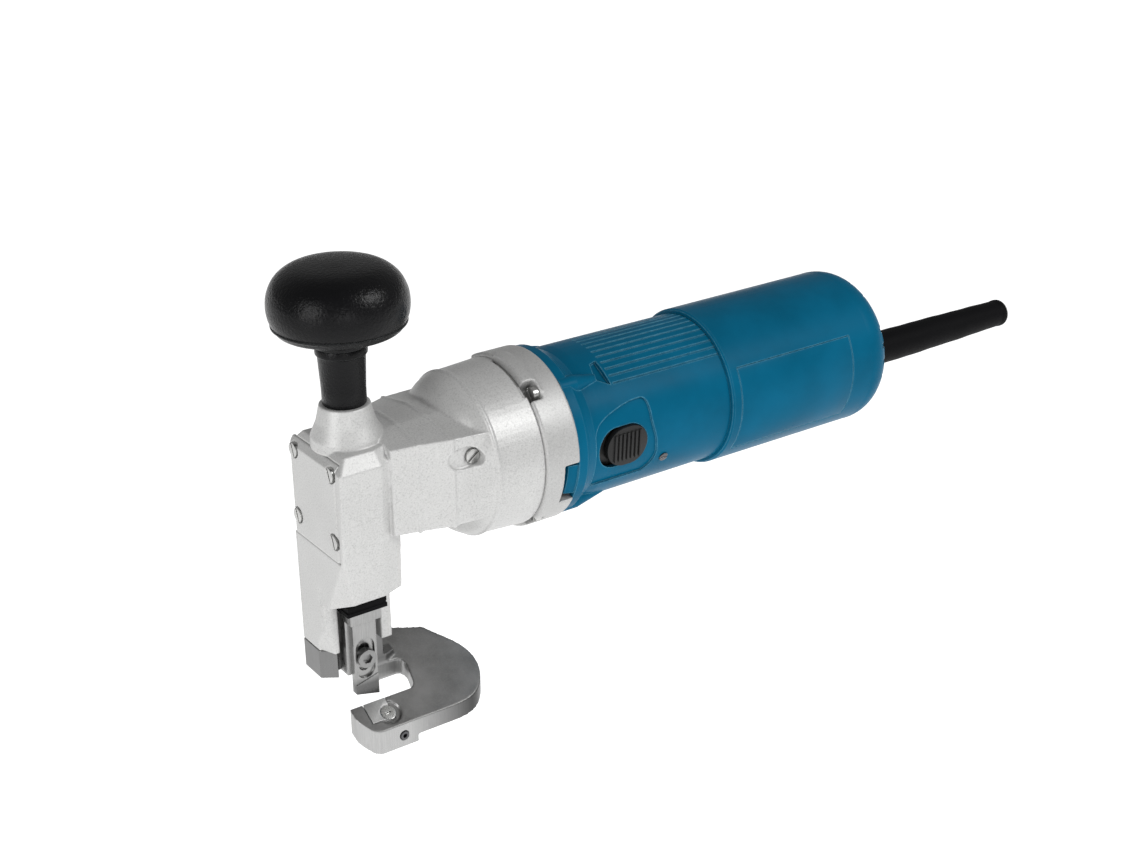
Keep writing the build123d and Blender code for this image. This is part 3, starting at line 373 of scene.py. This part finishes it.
materials = {
    "cast_alloy": sand_cast("cast_alloy"),
    # Darker copy of cast_alloy for the bearing flange: painted shade against the extra light its
    # faces catch.
    "shaded_cast_alloy": sand_cast("shaded_cast_alloy", 0.84),
    # Strong edge lightening on the blue plastic: a painted highlight on the rims, with a little
    # rubbed wear.
    "blue_plastic": moulded("blue_plastic", BLUE, 0.32, 1300, 0.10, 0.0006, 0.9, 0.03,
                            edge_colour=BLUE_EDGE_HIGHLIGHT),
    "knob_black": moulded("knob_black", KNOB_BLACK, 0.27, 800, 2.0, wear_and_highlight=0.5,
                          specular=0.15, edge_colour=(0.16, 0.17, 0.17)),
    "black_plastic": moulded("black_plastic", (0.006, 0.006, 0.006), 0.42, 1100, 0.2, 0.00015,
                             specular=0.3),
    "sleeve_rubber": moulded("sleeve_rubber", RUBBER_BLACK, 0.55, 650, 0.45,
                             specular=0.05,
                             # The lighter tip is a painted highlight on the sleeve's end rim.
                             tip=(sleeve_end - 0.0014, sleeve_end - 0.0010, SLEEVE_END_HIGHLIGHT)),
    "tool_steel": ground("tool_steel", STEEL, 0.27,
                         land=(blade_edge + 0.0015, blade_edge + 0.0135, DARK_LAND)),
    "table_steel": table_finish("table_steel"),
    "blade_face": ground("blade_face", (0.50, 0.50, 0.495), 0.40, stretch=(300, 14, 300),
                         lines=0.5),
    "blade_screw": ground("blade_screw", (0.24, 0.24, 0.238), 0.30, lines=0.2, edge=0.00015),
    "dark_steel": ground("dark_steel", (0.10, 0.10, 0.105), 0.34, lines=0.2),
    "screw_steel": ground("screw_steel", (0.50, 0.50, 0.49), 0.25, lines=0.2, edge=0.00015),
    "bearing_steel": ground("bearing_steel", (0.60, 0.60, 0.60), 0.2, stretch=(40, 260, 260)),
    "lamination": stacked("lamination", (0.22, 0.22, 0.23), "X", 0.0005, 0.4),
    "copper": stacked("copper", (0.62, 0.25, 0.09), "X", 0.0007, 0.32),
    "bronze": ground("bronze", (0.50, 0.31, 0.12), 0.34),
    "capacitor_yellow": moulded("capacitor_yellow", (0.55, 0.38, 0.05), 0.35, 800, 0.1),
    "carbon": moulded("carbon", (0.03, 0.03, 0.032), 0.45, 900, 0.2, 0.00015),
}

# ---------------------------------------------------------------- pieces from CAD nodes


SHARP = math.radians(32)
TURNED_BREAK = math.radians(38)
MILLED_BREAK = math.radians(35)
WOBBLE = 0.06 * MM


def paint(obj, material):
    obj.data.materials.clear()
    obj.data.materials.append(material)
    for face in obj.data.polygons:
        face.material_index = 0


def stand_in(name, mesh, node, finish=None):
    """A new piece that shows in place of a CAD node, on the same body."""
    obj = bpy.data.objects.new(name, mesh)
    scene.collection.objects.link(obj)
    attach(obj, body_of[node])
    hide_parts(node)
    paint(obj, materials[finish or slots[node]])
    return obj


def welded(node):
    bm = bmesh.new()
    bm.from_mesh(nodes[node].data)
    bmesh.ops.remove_doubles(bm, verts=bm.verts, dist=2e-6)
    return bm


def smooth_by_angle(mesh, limit):
    bm = bmesh.new()
    bm.from_mesh(mesh)
    for face in bm.faces:
        face.smooth = True
    for edge in bm.edges:
        edge.smooth = len(edge.link_faces) == 2 and edge.calc_face_angle(0) < limit
    bm.to_mesh(mesh)
    bm.free()


def plain_mesh(name, bm):
    mesh = bpy.data.meshes.new(name)
    bm.to_mesh(mesh)
    bm.free()
    return mesh


def soften(node, name, voxel, rounds, finish=None):
    """Rounds every edge of a cast or forged node a little, as the real surface is.

    The voxel is in metres, and each smoothing round widens the rounding."""
    mesh = plain_mesh(name, welded(node))
    obj = bpy.data.objects.new(name, mesh)
    scene.collection.objects.link(obj)
    remesh = obj.modifiers.new("remesh", "REMESH")
    remesh.mode = "VOXEL"
    remesh.voxel_size = voxel * 1.0
    smooth = obj.modifiers.new("smooth", "SMOOTH")
    smooth.factor = 0.5
    smooth.iterations = rounds
    graph = bpy.context.evaluated_depsgraph_get()
    result = bpy.data.meshes.new_from_object(obj.evaluated_get(graph))
    bpy.data.objects.remove(obj)
    result.name = name
    for face in result.polygons:
        face.use_smooth = True
    return stand_in(name, result, node, finish)


def crisp(node, name, width, finish=None):
    """Breaks the sharp edges of a machined node with a small real chamfer."""
    bm = welded(node)
    bmesh.ops.dissolve_limit(bm, angle_limit=math.radians(0.4), verts=bm.verts, edges=bm.edges)
    sharp = [e for e in bm.edges
             if len(e.link_faces) == 2 and e.calc_face_angle(0) > SHARP]
    bmesh.ops.bevel(bm, geom=sharp, offset=width, segments=2, profile=0.6, affect="EDGES",
                    clamp_overlap=True)
    mesh = plain_mesh(name, bm)
    smooth_by_angle(mesh, MILLED_BREAK)
    return stand_in(name, mesh, node, finish)


def rounded(points, steps=6):
    """Catmull-Rom curve through (along, radius) points; a point given twice stays a corner."""
    out = []
    pts = [Vector(p) for p in points]
    for i in range(len(pts) - 1):
        a, b = pts[i], pts[i + 1]
        if (a - b).length < 1e-9:
            continue
        before = pts[i - 1] if i else a
        after = pts[i + 2] if i + 2 < len(pts) else b
        for k in range(steps):
            t = k / steps
            out.append(0.5 * (2 * a + (b - before) * t
                              + (2 * before - 5 * a + 4 * b - after) * t ** 2
                              + (3 * a - before - 3 * b + after) * t ** 3))
    out.append(pts[-1])
    return out


def lathe(name, profile, origin, axis, node, turns=96, wobble=None):
    """Turned piece from (along, radius) points in metres, closed at radius 0 or as a loop."""
    axis = Vector(axis).normalized()
    side = axis.orthogonal().normalized()
    other = axis.cross(side)
    origin = Vector(origin)
    bm = bmesh.new()
    rings = []
    for along, radius in profile:
        if radius < 1e-7:
            rings.append([bm.verts.new(origin + axis * along)])
            continue
        ring = []
        for k in range(turns):
            turn = 2 * math.pi * k / turns
            r = radius + (wobble(along, turn) if wobble else 0)
            ring.append(bm.verts.new(origin + axis * along
                                     + (side * math.cos(turn) + other * math.sin(turn)) * r))
        rings.append(ring)
    closed = len(rings[0]) > 1 and len(rings[-1]) > 1
    pairs = list(zip(rings, rings[1:])) + ([(rings[-1], rings[0])] if closed else [])
    for low, high in pairs:
        for k in range(turns):
            m = (k + 1) % turns
            if len(low) == 1:
                bm.faces.new((low[0], high[m], high[k]))
            elif len(high) == 1:
                bm.faces.new((low[k], low[m], high[0]))
            else:
                bm.faces.new((low[k], low[m], high[m], high[k]))
    bmesh.ops.recalc_face_normals(bm, faces=bm.faces)
    mesh = plain_mesh(name, bm)
    smooth_by_angle(mesh, TURNED_BREAK)
    return stand_in(name, mesh, node)


def make_knob():
    """Palm knob: low dome, fine parting groove at the rim, flat cone underneath."""
    lo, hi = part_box("knob")
    centre = ((lo.x + hi.x) / 2, (lo.y + hi.y) / 2, 0)
    big = (hi.x - lo.x) / 2 / MM
    top, low = hi.z / MM, lo.z / MM
    dome = rounded([(top, 0), (top - 0.12, 5), (top - 1.0, 14.5), (top - 2.9, 20.6),
                    (top - 6.9, 25.5), (top - 12.3, 28.2), (top - 17.3, big - 0.1),
                    (top - 21.3, big - 0.5), (top - 24.2, big - 1.4)], 5)
    rim = [(top - 24.6, big - 1.8), (top - 24.8, big - 1.3), (top - 25.4, big - 1.35),
           (top - 25.8, big - 2.0)]
    under = rounded([(top - 26.2, big - 2.3), (top - 27.8, big - 3.6), (top - 28.8, big - 6.0),
                     (top - 29.8, 19.5), (top - 31.4, 15.6), (top - 32.8, 12.0),
                     (low + 0.02, 11.0)], 4)
    hole = [(low, 10.6), (low, 4.15), (top - 18, 4.15), (top - 18, 0)]
    profile = [(z * MM, r * MM) for z, r in [*dome, *rim, *under, *hole]]
    lathe("palm_knob", profile, centre, (0, 0, 1), "knob", 128)


def make_stem():
    """Neck of the knob, a little wider upwards, with a collar under the knob."""
    lo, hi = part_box("knob_stem")
    centre = ((lo.x + hi.x) / 2, (lo.y + hi.y) / 2, 0)
    a, b = lo.z / MM, hi.z / MM
    outer = [(a, 8.9), (a + 0.4, 9.2), (a + 7, 9.25), (b - 4.2, 9.95), (b - 3.8, 10.15),
             (b - 3.4, 10.75), (b - 2.9, 10.8), (b - 0.5, 10.8), (b - 0.1, 10.5),
             (b - 0.1, 4.12), (a, 4.12)]
    lathe("knob_neck", [(z * MM, r * MM) for z, r in outer], centre, (0, 0, 1), "knob_stem")


def make_sleeve():
    """Hollow rubber sleeve that tapers to a bead at its open end."""
    lo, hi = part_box("bend_sleeve")
    centre = (0, (lo.y + hi.y) / 2, (lo.z + hi.z) / 2)
    a, b = lo.x / MM, hi.x / MM
    outer = [(a, 11.3), (a + 5.1, 11.3), (a + 5.2, 8.35)]
    outer += rounded([(a + 6, 8.35), (a + 25, 8.25), (a + 50, 8.05), (a + 80, 7.55), (a + 100, 7.1),
                      (b - 5.4, 6.75)], 8)
    outer += rounded([(b - 4.6, 6.75), (b - 3.8, 6.95), (b - 2.4, 7.0), (b - 1.2, 6.8),
                      (b - 0.1, 6.1)], 3)
    outer += [(b, 5.6), (b - 0.1, 5.1), (b - 1.2, 4.6), (b - 2, 3.78), (a, 3.78)]
    profile = [(x * MM, r * MM) for x, r in outer]

    def wobble(along, turn):
        """Slight moulding waviness, none near the ends."""
        fade = min(1, max(0, (along / MM - a - 8) / 10)) * min(1, max(0, (b - 8 - along / MM) / 10))
        return fade * WOBBLE * (math.sin(along * 430) + math.sin(along * 190 + turn))

    lathe("bend_protection_sleeve", profile, centre, (1, 0, 0), "bend_sleeve", 64, wobble)


make_camera()
make_light()
make_floor()

make_knob()
make_stem()
make_sleeve()
soften("gear_housing", "head_casting", 0.45 * MM, 3)
# The flange takes the darker copy of the alloy, a painted shade.
soften("bearing_flange", "bearing_flange_casting", 0.45 * MM, 3, finish="shaded_cast_alloy")
soften("front_cover", "front_cover_casting", 0.3 * MM, 2)
soften("cutting_table", "cutting_table_forging", 0.4 * MM, 6)
other_finish = {"upper_blade_screw": "blade_screw", "grip_screws": "dark_steel",
                "lower_blade": "blade_face"}
edge_width = {"cover_screws": 0.16, "side_screws": 0.16, "flange_screws": 0.16,
              "grip_screws": 0.12, "cap_screws": 0.14, "lower_blade_screw": 0.14,
              "table_screws": 0.2, "upper_blade_screw": 0.14, "upper_blade": 0.14,
              "lower_blade": 0.12, "ram": 0.25, "clearance_set_screw": 0.12,
              "switch_button": 0.16, "name_plate": 0.1}     # mm, of the broken edges
for part, width in edge_width.items():
    crisp(part, part + "_worn", width * MM, other_finish.get(part))

for label, node in nodes.items():
    paint(node, materials[slots[label]])
